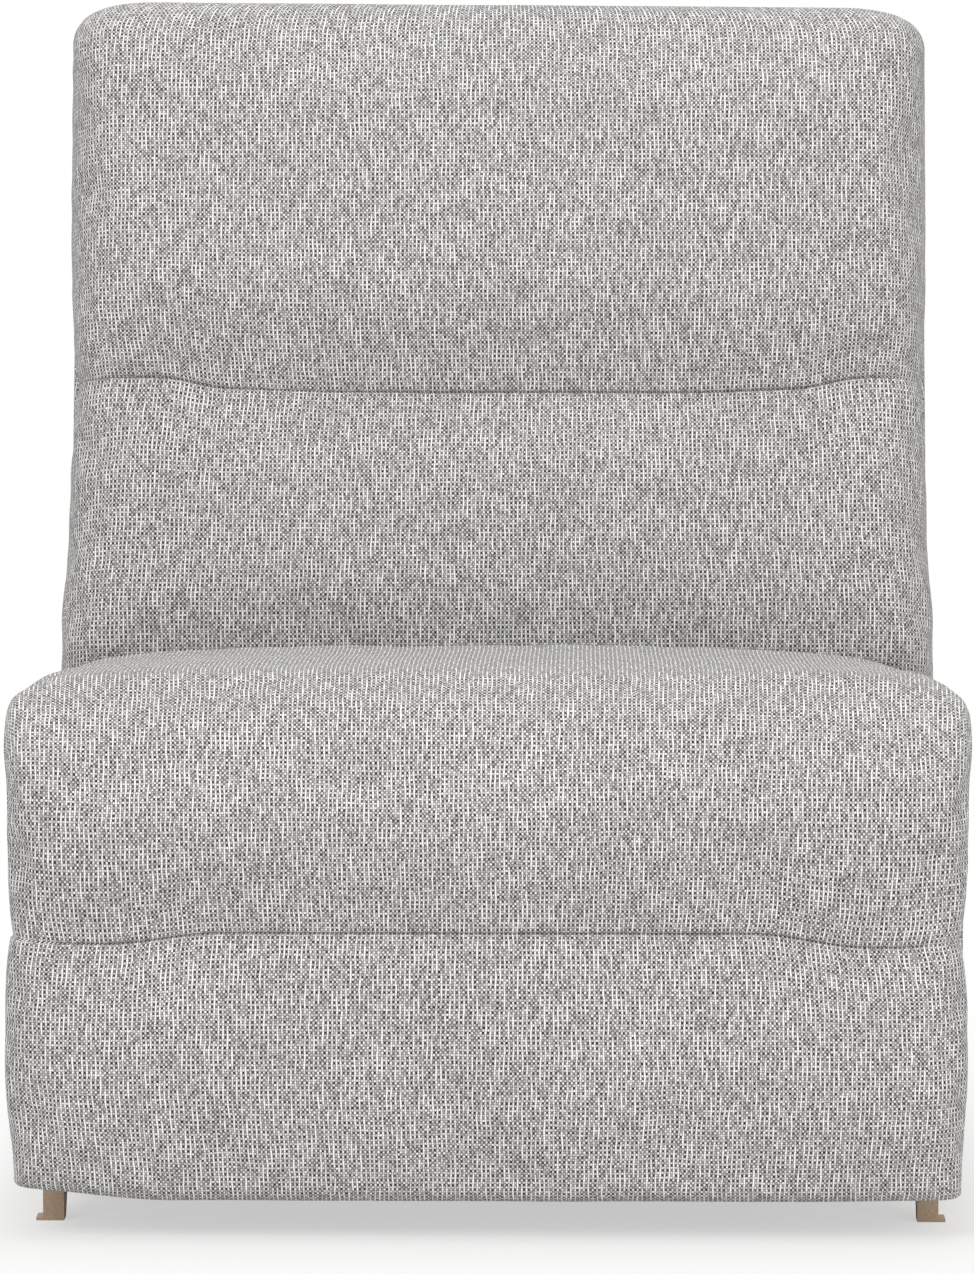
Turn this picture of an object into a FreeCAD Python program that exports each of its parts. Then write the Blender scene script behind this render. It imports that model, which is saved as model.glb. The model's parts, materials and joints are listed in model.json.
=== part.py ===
"""Armless power recliner, one module of a reclining sectional sofa.

Millimetres, +Z up, the front faces -Y, and +X is to the right seen from the front.
Places along Y are written on a working line, and depth() centres them on the module's depth.
"""
import FreeCAD, Part
import os

import Sketcher

DOC = FreeCAD.newDocument("power_recliner")
SHEET = DOC.addObject("Spreadsheet::Sheet", "Sheet")

# Driving dimensions, each written once. Angles are in degrees.
SIZES = {
    # upholstery
    "seat_width": 810.0, "back_inset": 5.0, "seat_top": 470.0, "seat_pad": 77.7, "roll": 42.0,
    "front_face": -497.0, "front_seam": 260.5, "hem": 38.0, "front_over": 22.0, "roll_lip": 15.0,
    "seat_rear": 45.0, "soft_gap": 0.3, "seam_gap": 2.0, "pad_round": 18.0, "pillow_round": 40.0,
    # steel base
    "rail_inset": 43.0, "rail_wide": 24.0, "rail_low": 52.0, "rail_tall": 38.0, "rail_wall": 2.5,
    "rail_front": -390.0, "rail_rear": 345.0, "leg_wide": 18.0, "leg_deep": 70.0, "leg_sole": 26.0,
    "leg_flare": 6.0, "tube_wide": 25.0, "tube_wall": 2.0, "front_tube": -162.0, "rear_tube": 190.0,
    "plate_thick": 4.0, "plate_front": -300.0, "plate_top": 372.0, "plate_corner": 40.0,
    "plate_lug": 22.0, "plate_notch": 60.0, "plate_rear": 20.0,
    # wooden seat box
    "board": 25.0, "box_low": 305.0, "box_top": 390.0, "box_front": -408.0, "box_rear": 85.0,
    "web_wide": 58.0, "web_thick": 2.0, "web_count": 5, "panel_low": 105.0, "panel_inset": 4.0,
    "panel_rear": 75.0,
    # leg rest
    "hinge_y": -441.0, "hinge_z": 402.0, "hinge_pin": 5.0, "hinge_clear": 11.0, "leg_board": 12.0,
    "leg_board_low": 62.0, "leg_board_drop": 8.0, "leg_board_inset": 25.0, "pad_drop": 10.0,
    "bracket_inset": 40.0, "bracket_edge": 8.0, "bracket_lug": 12.0, "flange_wide": 30.0,
    "flange_thick": 3.0, "flange_tall": 80.0, "flange_drop": 8.0, "screw_step": 40.0, "screw_head": 3.0,
    "ear_front": 6.5, "ear_low": 3.5, "ear_top": 7.0, "ear_rear": 10.5, "ear_drop": 60.0,
    "ear_foot": 13.0, "ear_heel": 8.5, "link_thick": 4.0, "layer_gap": 1.0, "crank_y": 17.0,
    "crank_z": -105.0, "link_pin": 4.0, "link_half": 9.0,
    # drive
    "shaft_y": -240.0, "shaft_z": 215.0, "shaft_r": 14.0, "shaft_wall": 3.0, "shaft_plug": 20.0,
    "journal_r": 8.0, "collar": 6.0, "lever": 70.0, "lever_angle": 42.5, "drive_pin": 6.0,
    "sled_inset": 61.0, "sled_thick": 5.0, "sled_low": 126.0, "sled_top": 196.0, "sled_end": 32.0,
    "slot_end": 1.0, "front_play": 2.6, "rear_play": 0.8, "cross_bar": 20.0,
    "screw_z": 112.0, "screw_r": 6.0, "screw_end": 1.0, "nut_wide": 40.0, "nut_at": 45.0,
    "rail_plate": 3.0, "gearbox_at": 230.0, "gearbox_long": 60.0, "gearbox_wide": 60.0,
    "motor_r": 24.0, "motor_long": 110.0, "cap_r": 16.8, "cap_long": 8.0, "fit": 0.05,
    # back
    "pivot_y": 170.0, "pivot_z": 330.0, "pivot_pin": 7.0, "back_lean": 15.0, "arm_inset": 10.0,
    "arm_thick": 5.0, "arm_long": 157.4, "arm_angle": 17.5, "arm_half": 16.0, "reach_wide": 50.0,
    "reach_long": 170.0, "reach_low": 5.0, "neck": 40.0, "neck_lap": 5.0, "neck_low": 15.0,
    "post_thick": 25.0, "post_front": 10.0, "post_rear": 100.0, "post_low": -30.0, "post_top": 655.0,
    "cross_rail": 40.0, "back_web_count": 4, "strap_margin": 60.0, "back_skin": 8.0, "skin_inset": 2.0,
    "back_low": -60.0, "back_top": 700.0, "top_drop": 20.0, "back_bottom": 100.0, "border_lift": 2.0,
    "back_seam": 328.0, "pillow_low": 55.0, "pillow_front": -150.0, "pillow_proud": 8.0, "overcut": 100.0,
    # fasteners, switch and inlet
    "bolt_r": 4.0, "bolt_head_r": 7.5, "bolt_head": 4.0, "bolt_end": 60.0, "bolt_middle": 120.0,
    "join_spacing": 64.0, "join_hole": 4.25, "switch_y": -250.0, "switch_z": 330.0,
    "switch_long": 62.0, "switch_tall": 32.0, "bezel": 3.0, "bezel_lap": 3.0, "housing_gap": 0.5,
    "button": 20.0, "button_gap": 0.3, "button_apart": 4.0, "button_deep": 9.5, "button_proud": 0.8,
    "button_travel": 2.0, "inlet_x": -150.0, "inlet_wide": 22.0, "inlet_bore": 3.0, "inlet_wall": 8.8,
}

# Places that follow from the seat's width, so that the layers keep together when it changes.
TIED = {
    "back_width": "seat_width - 2 * back_inset",
    "rail_inner": "seat_width / 2 - rail_inset",
    "bracket_x": "rail_inner - bracket_inset",
    "sled_x": "rail_inner - sled_inset",
    "arm_x": "rail_inner - arm_inset",
    "leg_board_wide": "seat_width - 2 * leg_board_inset",
}

CELLS = {alias: str(size) for alias, size in SIZES.items()}
CELLS.update({alias: "=" + formula for alias, formula in TIED.items()})
for row, (alias, content) in enumerate(CELLS.items(), start=1):
    SHEET.set(f"A{row}", alias)
    SHEET.set(f"B{row}", content)
    SHEET.setAlias(f"B{row}", alias)
DOC.recompute()


def ref(text):
    """Turn plain words of a formula into references to the sheet's cells."""
    out = []
    word = ""
    for sign in text + " ":
        if sign.isalnum() or sign == "_":
            word += sign
            continue
        out.append(f"Sheet.{word}" if word in CELLS else word)
        out.append(sign)
        word = ""
    return "".join(out)


def value(text):
    """The present number of a formula."""
    return float(SHEET.evalExpression(ref(text)))


LEAN_COS = "cos(back_lean * 1 deg)"
LEAN_SIN = "sin(back_lean * 1 deg)"
PANEL_REAR = "(post_rear + back_skin)"
REAR_FACE = f"(pivot_y + {PANEL_REAR} * {LEAN_COS} + (back_top - top_drop) * {LEAN_SIN})"
MIDDLE = f"((front_face + {REAR_FACE}) / 2)"


def depth(text):
    """A place along Y, moved so that the module's depth is centred on the origin."""
    return f"({text}) - {MIDDLE}"


def bind(thing, bound):
    for name, text in bound.items():
        thing.setExpression(name, ref(text))
    return thing


def place(thing, x, y, z):
    return bind(thing, {"Placement.Base.x": x, "Placement.Base.y": depth(y), "Placement.Base.z": z})


def box(name, size, corner):
    """A box from its lowest corner."""
    made = DOC.addObject("Part::Box", name)
    bind(made, {"Length": size[0], "Width": size[1], "Height": size[2]})
    return place(made, *corner)


def rod(name, radius, length, start, axis):
    """A cylinder that starts at a point and runs along +X, +Y or +Z."""
    turns = {"x": ((0, 1, 0), 90), "y": ((-1, 0, 0), 90), "z": ((0, 0, 1), 0)}
    made = DOC.addObject("Part::Cylinder", name)
    way, angle = turns[axis]
    made.Placement = FreeCAD.Placement(FreeCAD.Vector(), FreeCAD.Rotation(FreeCAD.Vector(*way), angle))
    bind(made, {"Radius": radius, "Height": length})
    return place(made, *start)


def leaned(thing, x, v, w):
    """Place a box in the back's own frame: v runs to the rear and w up the back, from its pivot."""
    thing.Placement = FreeCAD.Placement(FreeCAD.Vector(), FreeCAD.Rotation(FreeCAD.Vector(-1, 0, 0), 10))
    thing.setExpression("Placement.Rotation.Angle", ref("back_lean * 1 deg"))
    y = f"pivot_y + ({v}) * {LEAN_COS} + ({w}) * {LEAN_SIN}"
    z = f"pivot_z - ({v}) * {LEAN_SIN} + ({w}) * {LEAN_COS}"
    return place(thing, x, y, z)


def back_box(name, size, corner):
    made = DOC.addObject("Part::Box", name)
    bind(made, {"Length": size[0], "Width": size[1], "Height": size[2]})
    return leaned(made, *corner)


def fuse(name, *pieces):
    made = DOC.addObject("Part::MultiFuse", name)
    made.Shapes = list(pieces)
    made.Refine = True
    return made


def cut(name, base, *tools):
    made = DOC.addObject("Part::Cut", name)
    made.Base = base
    made.Tool = tools[0] if len(tools) == 1 else fuse(name + "_tools", *tools)
    return made


def group(name, pieces):
    """Separate solids that share one node."""
    made = DOC.addObject("Part::Compound", name)
    made.Links = pieces
    return made


def rounded(name, base, alias):
    """Round every edge of a box by one radius."""
    DOC.recompute()
    made = DOC.addObject("Part::Fillet", name)
    made.Base = base
    thinnest = min(base.Length.Value, base.Width.Value, base.Height.Value)
    radius = min(SIZES[alias], 0.45 * thinnest)
    made.Edges = [(edge, radius, radius) for edge in range(1, len(base.Shape.Edges) + 1)]
    return made


def plate(name, corners, thick, x):
    """A flat plate in the YZ plane with straight edges, padded along +X from x."""
    body = DOC.addObject("PartDesign::Body", name)
    plane = next(item for item in body.Origin.OriginFeatures if item.Role == "YZ_Plane")
    sketch = body.newObject("Sketcher::SketchObject", name + "_outline")
    sketch.AttachmentSupport = [(plane, "")]
    sketch.MapMode = "FlatFace"
    spots = [FreeCAD.Vector(value(depth(y)), value(z), 0) for y, z in corners]
    count = len(spots)
    for index in range(count):
        sketch.addGeometry(Part.LineSegment(spots[index], spots[(index + 1) % count]), False)
    for index in range(count):
        sketch.addConstraint(Sketcher.Constraint("Coincident", index, 2, (index + 1) % count, 1))
    for index, (y, z) in enumerate(corners):
        for kind, text, now in (("DistanceX", depth(y), spots[index].x), ("DistanceY", z, spots[index].y)):
            number = sketch.addConstraint(Sketcher.Constraint(kind, -1, 1, index, 1, now))
            label = f"{kind}_{index}"
            sketch.renameConstraint(number, label)
            sketch.setExpression(f"Constraints.{label}", ref(text))
    pad = body.newObject("PartDesign::Pad", name + "_pad")
    pad.Profile = sketch
    pad.setExpression("Length", ref(thick))
    body.setExpression("Placement.Base.x", ref(x))
    return body


# Sub-parts by name, in the order they are made.
NODES = {}


def keep(name, thing):
    thing.Label = name
    NODES[name] = thing
    return thing


SIDES = (("left", -1), ("right", 1))


def inward(side, near, thick):
    """Lowest x of a layer that starts `near` from the middle and is `thick` deep, on either side."""
    return f"{near}" if side > 0 else f"-({near}) - ({thick})"


def hole_at(name, radius, y, z, side, near, deep):
    """A cylinder along X through the layers from `near` outwards."""
    return rod(name, radius, deep, (inward(side, near, deep), y, z), "x")


def make_base(label, side):
    """Channel rail, open towards the middle, with its two stamped legs and its side plate."""
    rail_long = "(rail_rear - rail_front)"
    outer = box(f"rail_outer_{label}", ("rail_wide", rail_long, "rail_tall"),
                (inward(side, "rail_inner", "rail_wide"), "rail_front", "rail_low"))
    hollow = box(f"rail_hollow_{label}", ("rail_wide - rail_wall", f"{rail_long} - 2 * rail_wall",
                                          "rail_tall - 2 * rail_wall"),
                 (inward(side, "rail_inner", "rail_wide - rail_wall"), "rail_front + rail_wall",
                  "rail_low + rail_wall"))
    joins = [hole_at(f"join_{label}_{step}", "join_hole", f"{step} * join_spacing / 2",
                     "rail_low + rail_tall / 2", side, "rail_inner", "rail_wide") for step in (-1, 1)]
    keep(f"base_rail_{label}", cut(f"base_rail_{label}", outer, hollow, *joins))

    for end, start, way in (("front", "rail_front", 1), ("rear", "rail_rear", -1)):
        flange_top = f"{start} + {way} * leg_deep"
        sole = f"{start} + {way} * leg_sole"
        flanges = []
        for index, near in enumerate(("rail_inner + (rail_wide - leg_wide) / 2",
                                      "rail_inner + (rail_wide + leg_wide) / 2 - rail_wall")):
            corners = [(start, "0"), (sole, "0"), (flange_top, "rail_low"), (start, "rail_low")]
            flanges.append(plate(f"{end}_flange_{label}_{index}", corners, "rail_wall",
                                 inward(side, near, "rail_wall")))
        web_y = start if way > 0 else f"{start} - rail_wall"
        middle = "rail_inner + (rail_wide - leg_wide) / 2"
        web = box(f"{end}_web_{label}", ("leg_wide", "rail_wall", "rail_low"),
                  (inward(side, middle, "leg_wide"), web_y, "0"))
        lip = box(f"{end}_lip_{label}", ("leg_wide + leg_flare", "leg_sole", "rail_wall"),
                  (inward(side, middle, "leg_wide + leg_flare"),
                   start if way > 0 else f"{start} - leg_sole", "0"))
        keep(f"{end}_leg_{label}", fuse(f"{end}_leg_{label}", web, lip, *flanges))

    corners = [("plate_front", "rail_low"), ("plate_front", "plate_top - plate_corner"),
               ("plate_front + plate_corner", "plate_top"), ("pivot_y + plate_lug", "plate_top"),
               ("pivot_y + plate_lug", "pivot_z - plate_lug"),
               ("pivot_y - plate_rear", "pivot_z - plate_notch"), ("pivot_y - plate_rear", "rail_low")]
    blank = plate(f"plate_blank_{label}", corners, "plate_thick",
                  inward(side, "rail_inner - plate_thick", "plate_thick"))
    journal = hole_at(f"journal_hole_{label}", "journal_r + fit", "shaft_y", "shaft_z", side,
                      "rail_inner - plate_thick", "plate_thick")
    bolt_holes = [hole_at(f"plate_hole_{label}_{index}", "bolt_r + fit", y, z, side,
                          "rail_inner - plate_thick", "plate_thick")
                  for index, (y, z) in enumerate(BOLTS)]
    pin = rod(f"pivot_stub_{label}", "pivot_pin", "plate_thick + arm_thick + layer_gap",
              (inward(side, "arm_x", "plate_thick + arm_thick + layer_gap"), "pivot_y", "pivot_z"), "x")
    pierced = cut(f"plate_pierced_{label}", blank, journal, *bolt_holes)
    keep(f"side_plate_{label}", fuse(f"side_plate_{label}", pierced, pin))


# Bolts that hold each side plate to the wooden side rail.
BOLT_HIGH = "(box_low + plate_top) / 2"
BOLTS = [("plate_front + bolt_end", BOLT_HIGH), ("shaft_y + bolt_middle", BOLT_HIGH),
         ("box_rear - bolt_end", BOLT_HIGH)]
FRONT_EDGE = "(box_front - front_over)"


def make_seat_box():
    """Wooden seat box with its webbing, cushion and upholstered side panels."""
    rail_long = "box_rear - box_front"
    for label, side in SIDES:
        solid = box(f"wood_{label}", ("board", rail_long, "box_top - box_low"),
                    (inward(side, "rail_inner", "board"), "box_front", "box_low"))
        holes = [hole_at(f"wood_hole_{label}_{index}", "bolt_r + fit", y, z, side, "rail_inner", "board / 2")
                 for index, (y, z) in enumerate(BOLTS)]
        keep(f"seat_side_rail_{label}", cut(f"seat_side_rail_{label}", solid, *holes))
    for end, y in (("front", "box_front"), ("rear", "box_rear - board")):
        keep(f"seat_{end}_rail", box(f"seat_{end}_rail", ("2 * (rail_inner - plate_thick)", "board",
                                                         "box_top - box_low"),
                                     ("-(rail_inner - plate_thick)", y, "box_low")))
    straps = []
    count = int(SIZES["web_count"])
    for index in range(count):
        x = f"(2 * {index} - {count - 1}) / {count} * (rail_inner - web_wide / 2) - web_wide / 2"
        size = ("web_wide", rail_long, "web_thick")
        straps.append(box(f"strap_{index}", size, (x, "box_front", "box_top")))
    keep("seat_webbing", group("seat_webbing", straps))
    cushion = box("cushion_block", ("seat_width", f"seat_rear - {FRONT_EDGE}", "seat_pad"),
                  ("-seat_width / 2", FRONT_EDGE, "seat_top - seat_pad"))
    keep("seat_cushion", rounded("seat_cushion", cushion, "pad_round"))
    roll_rear = f"{FRONT_EDGE} - soft_gap"
    roll_low = "seat_top - seat_pad + soft_gap"
    # The round is drawn as four chords, at these shares of its radius.
    chords = ((0.0, 0.9), (0.24, 0.4), (0.6, 0.1), (1.0, 0.0))
    corners = [("front_face", roll_low)]
    corners += [(f"front_face + {back} * roll", f"seat_top - {drop} * roll") for back, drop in chords]
    corners += [(roll_rear, "seat_top"), (roll_rear, "hinge_z + hinge_clear"),
                ("hinge_y - roll_lip", "hinge_z + hinge_clear"), ("hinge_y - roll_lip", roll_low)]
    keep("thigh_roll", plate("thigh_roll", corners, "seat_width", "-seat_width / 2"))

    panel_near = "rail_inner + board"
    panel_thick = "seat_width / 2 - panel_inset - rail_inner - board"
    panel_top = "seat_top - seat_pad - soft_gap"
    for label, side in SIDES:
        solid = box(f"panel_block_{label}", (panel_thick, f"box_rear + panel_rear - {FRONT_EDGE}",
                                             f"{panel_top} - panel_low"),
                    (inward(side, panel_near, panel_thick), FRONT_EDGE, "panel_low"))
        if label == "right":
            opening = box("switch_opening", (panel_thick, "switch_long - 2 * bezel_lap",
                                             "switch_tall - 2 * bezel_lap"),
                          (panel_near, "switch_y - switch_long / 2 + bezel_lap",
                           "switch_z - switch_tall / 2 + bezel_lap"))
            solid = cut("side_panel_right", solid, opening)
        keep(f"side_panel_{label}", solid)


def make_cross_members():
    """Two square tubes between the rails, which also carry the drive."""
    for end, y in (("front", "front_tube"), ("rear", "rear_tube")):
        low = "rail_low + rail_wall"
        outer = box(f"{end}_tube_outer", ("2 * (rail_inner - plate_thick)", "tube_wide", "tube_wide"),
                    ("-(rail_inner - plate_thick)", y, low))
        hollow = box(f"{end}_tube_hollow", ("2 * (rail_inner - plate_thick)", "tube_wide - 2 * tube_wall",
                                            "tube_wide - 2 * tube_wall"),
                     ("-(rail_inner - plate_thick)", f"{y} + tube_wall", f"{low} + tube_wall"))
        keep(f"{end}_cross_tube", cut(f"{end}_cross_tube", outer, hollow))


def make_bolts():
    """Button-head bolts through the side plates into the wooden side rails."""
    made = []
    for label, side in SIDES:
        for index, (y, z) in enumerate(BOLTS):
            head = hole_at(f"head_{label}_{index}", "bolt_head_r", y, z, side,
                           "rail_inner - plate_thick - bolt_head", "bolt_head")
            shank = hole_at(f"shank_{label}_{index}", "bolt_r", y, z, side, "rail_inner - plate_thick",
                            "plate_thick + board / 2")
            made.append(fuse(f"bolt_{label}_{index}", head, shank))
    keep("frame_bolts", group("frame_bolts", made))


def make_leg_rest():
    """Board, brackets and pads of the leg rest, and the fixed hinge brackets that carry it."""
    board_top = "hinge_z - leg_board_drop"
    size = ("leg_board_wide", "leg_board", f"{board_top} - leg_board_low")
    keep("leg_rest_board", box("leg_rest_board", size,
                               ("-leg_board_wide / 2", "hinge_y - leg_board / 2", "leg_board_low")))
    spans = (("upper_leg_pad", "front_seam + seam_gap", "hinge_z - pad_drop"),
             ("lower_leg_pad", "hem", "front_seam - seam_gap"))
    for name, low, high in spans:
        block = box(name + "_block", ("seat_width", "hinge_y - leg_board / 2 - soft_gap - front_face",
                                      f"{high} - ({low})"), ("-seat_width / 2", "front_face", low))
        keep(name, rounded(name, block, "pad_round"))

    rear_of_board = "hinge_y + leg_board / 2 + soft_gap"
    pin_y = "hinge_y + crank_y"
    pin_z = "hinge_z + crank_z"
    screws = []
    for label, side in SIDES:
        corners = [("hinge_y - bracket_edge", "hinge_z - 0.75 * bracket_edge"),
                   ("hinge_y - bracket_edge", "hinge_z + bracket_edge"),
                   ("hinge_y + 0.75 * bracket_edge", "hinge_z + bracket_edge"),
                   (f"{pin_y} + bracket_lug", f"{pin_z} + bracket_lug"),
                   (f"{pin_y} + bracket_lug", f"{pin_z} - bracket_lug"),
                   (rear_of_board, f"{pin_z} - bracket_lug"),
                   (rear_of_board, "hinge_z - 0.75 * bracket_edge")]
        blank = plate(f"bracket_blank_{label}", corners, "link_thick",
                      inward(side, "bracket_x", "link_thick"))
        flange = box(f"bracket_flange_{label}", ("flange_wide", "flange_thick", "flange_tall"),
                     (inward(side, "bracket_x + link_thick - flange_wide", "flange_wide"),
                      "hinge_y + leg_board / 2", f"{pin_z} - flange_drop"))
        hinge_hole = hole_at(f"hinge_hole_{label}", "hinge_pin + fit", "hinge_y", "hinge_z", side,
                             "bracket_x", "link_thick")
        link_hole = hole_at(f"bracket_link_hole_{label}", "link_pin + fit", pin_y, pin_z, side,
                            "bracket_x", "link_thick")
        pierced = cut(f"bracket_pierced_{label}", blank, hinge_hole, link_hole)
        keep(f"leg_rest_bracket_{label}", fuse(f"leg_rest_bracket_{label}", pierced, flange))
        for step in (0, 1):
            screws.append(rod(f"bracket_screw_{label}_{step}", "bolt_r", "screw_head",
                              (f"{side} * (bracket_x - (flange_wide - link_thick) / 2)",
                               "hinge_y + leg_board / 2 + flange_thick",
                               f"{pin_z} + bracket_lug + screw_step * {step}"), "y"))

        outer = "bracket_x + 2 * (link_thick + layer_gap)"
        corners = [("hinge_y - ear_front", "hinge_z - ear_low"), ("hinge_y - ear_front", "hinge_z + ear_top"),
                   ("hinge_y + ear_rear", "hinge_z + ear_top"), ("hinge_y + ear_rear", "box_top"),
                   ("box_front", "box_top"), ("box_front", "box_top - ear_drop"),
                   ("hinge_y + ear_foot", "box_top - ear_drop"),
                   ("hinge_y + ear_heel", "hinge_z - ear_front")]
        ear = plate(f"hinge_ear_{label}", corners, "link_thick", inward(side, outer, "link_thick"))
        pin_long = "3 * link_thick + 3 * layer_gap"
        pin = rod(f"hinge_pin_{label}", "hinge_pin", pin_long,
                  (inward(side, "bracket_x - layer_gap", pin_long), "hinge_y", "hinge_z"), "x")
        keep(f"hinge_bracket_{label}", fuse(f"hinge_bracket_{label}", ear, pin))
    keep("bracket_screws", group("bracket_screws", screws))


def bar(name, start, end, half, thick, x):
    """A straight link with round ends, in the YZ plane."""
    run_y, run_z = f"(({end[0]}) - ({start[0]}))", f"(({end[1]}) - ({start[1]}))"
    long = f"sqrt({run_y} * {run_y} + {run_z} * {run_z})"
    off_y, off_z = f"({run_z} / {long} * ({half}))", f"({run_y} / {long} * ({half}))"
    corners = [(f"{start[0]} + {off_y}", f"{start[1]} - {off_z}"),
               (f"{start[0]} - {off_y}", f"{start[1]} + {off_z}"),
               (f"{end[0]} - {off_y}", f"{end[1]} + {off_z}"), (f"{end[0]} + {off_y}", f"{end[1]} - {off_z}")]
    flat = plate(name + "_flat", corners, thick, x)
    ends = [rod(f"{name}_end_{index}", half, thick, (x, spot[0], spot[1]), "x")
            for index, spot in enumerate((start, end))]
    return fuse(name, flat, *ends)


def make_drive_shaft():
    """Cross shaft with its cranks, and the push rods that keep the leg rest parallel to them."""
    shaft = ("shaft_y", "shaft_z")
    crank_end = ("shaft_y + crank_y", "shaft_z + crank_z")
    lever_end = ("shaft_y + lever * sin(lever_angle * 1 deg)", "shaft_z - lever * cos(lever_angle * 1 deg)")
    half_long = "rail_inner - plate_thick - layer_gap"
    tube = rod("shaft_tube", "shaft_r", f"2 * ({half_long})", (f"-({half_long})", *shaft), "x")
    bore = rod("shaft_bore", "shaft_r - shaft_wall", f"2 * ({half_long}) - 2 * shaft_plug",
               (f"shaft_plug - ({half_long})", *shaft), "x")
    journals = [rod(f"shaft_journal_{label}", "journal_r", "plate_thick + layer_gap",
                    (inward(side, half_long, "plate_thick + layer_gap"), *shaft), "x")
                for label, side in SIDES]
    keep("torque_tube", fuse("torque_tube", cut("shaft_hollow", tube, bore), *journals))

    levers = []
    for label, side in SIDES:
        arm = bar(f"crank_arm_{label}", shaft, crank_end, "link_half", "link_thick",
                  inward(side, "bracket_x", "link_thick"))
        collar = hole_at(f"crank_collar_{label}", "shaft_r + collar", *shaft, side, "bracket_x", "link_thick")
        eye = hole_at(f"crank_eye_{label}", "link_pin + fit", *crank_end, side, "bracket_x", "link_thick")
        seat = hole_at(f"crank_seat_{label}", "shaft_r", *shaft, side, "bracket_x", "link_thick")
        keep(f"crank_{label}", cut(f"crank_{label}", fuse(f"crank_solid_{label}", arm, collar), eye, seat))

        near = "sled_x - layer_gap - sled_thick"
        lever = bar(f"lever_arm_{label}", shaft, lever_end, "link_half", "sled_thick",
                    inward(side, near, "sled_thick"))
        boss = hole_at(f"lever_boss_{label}", "shaft_r + collar", *shaft, side, near, "sled_thick")
        pin = hole_at(f"lever_pin_{label}", "drive_pin", *lever_end, side, near, "2 * sled_thick + layer_gap")
        seat = hole_at(f"lever_seat_{label}", "shaft_r", *shaft, side, near, "sled_thick")
        levers.append(cut(f"drive_lever_{label}", fuse(f"lever_solid_{label}", lever, boss, pin), seat))

        rod_x = "bracket_x + link_thick + layer_gap"
        hinge_end = ("hinge_y + crank_y", "hinge_z + crank_z")
        flat = bar(f"push_flat_{label}", crank_end, hinge_end, "link_half", "link_thick",
                   inward(side, rod_x, "link_thick"))
        pins = [hole_at(f"push_pin_{label}_{index}", "link_pin", *spot, side, "bracket_x - layer_gap",
                        "link_thick + 2 * layer_gap") for index, spot in enumerate((crank_end, hinge_end))]
        keep(f"push_rod_{label}", fuse(f"push_rod_{label}", flat, *pins))
    keep("drive_levers", group("drive_levers", levers))


def make_sled():
    """Sliding drive frame: two slotted bars, a cross bar and the nut on the screw."""
    front_pin = "shaft_y + lever * sin(lever_angle * 1 deg)"
    lever_high = "shaft_z - lever * cos(lever_angle * 1 deg)"
    rear_pin = "pivot_y + arm_long * sin(arm_angle * 1 deg)"
    arm_high = "pivot_z - arm_long * cos(arm_angle * 1 deg)"
    slots = ((front_pin, lever_high, "shaft_z - lever", "front_play"),
             (rear_pin, arm_high, "pivot_z - arm_long", "rear_play"))
    for label, side in SIDES:
        x = inward(side, "sled_x", "sled_thick")
        solid = box(f"sled_solid_{label}", ("sled_thick", f"({rear_pin}) - ({front_pin}) + 2 * sled_end",
                                            "sled_top - sled_low"),
                    (x, f"{front_pin} - sled_end", "sled_low"))
        tools = []
        for index, (y, high, low, play) in enumerate(slots):
            half = f"(drive_pin + {play})"
            tools.append(box(f"slot_{label}_{index}", ("sled_thick", f"2 * {half}",
                                                       f"({high}) - ({low}) + 2 * (drive_pin + slot_end)"),
                             (x, f"{y} - {half}", f"{low} - drive_pin - slot_end")))
        keep(f"sled_bar_{label}", cut(f"sled_bar_{label}", solid, *tools))
    nut_top = "screw_z + nut_wide / 2"
    keep("sled_cross_bar", box("sled_cross_bar", ("2 * sled_x", "nut_wide", "cross_bar"),
                               ("-sled_x", "nut_at - nut_wide / 2", nut_top)))
    block = box("nut_block", ("nut_wide", "nut_wide", "nut_wide"),
                ("-nut_wide / 2", "nut_at - nut_wide / 2", "screw_z - nut_wide / 2"))
    thread = rod("nut_thread", "screw_r + fit", "nut_wide", ("0", "nut_at - nut_wide / 2", "screw_z"), "y")
    keep("drive_nut", cut("drive_nut", block, thread))


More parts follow.
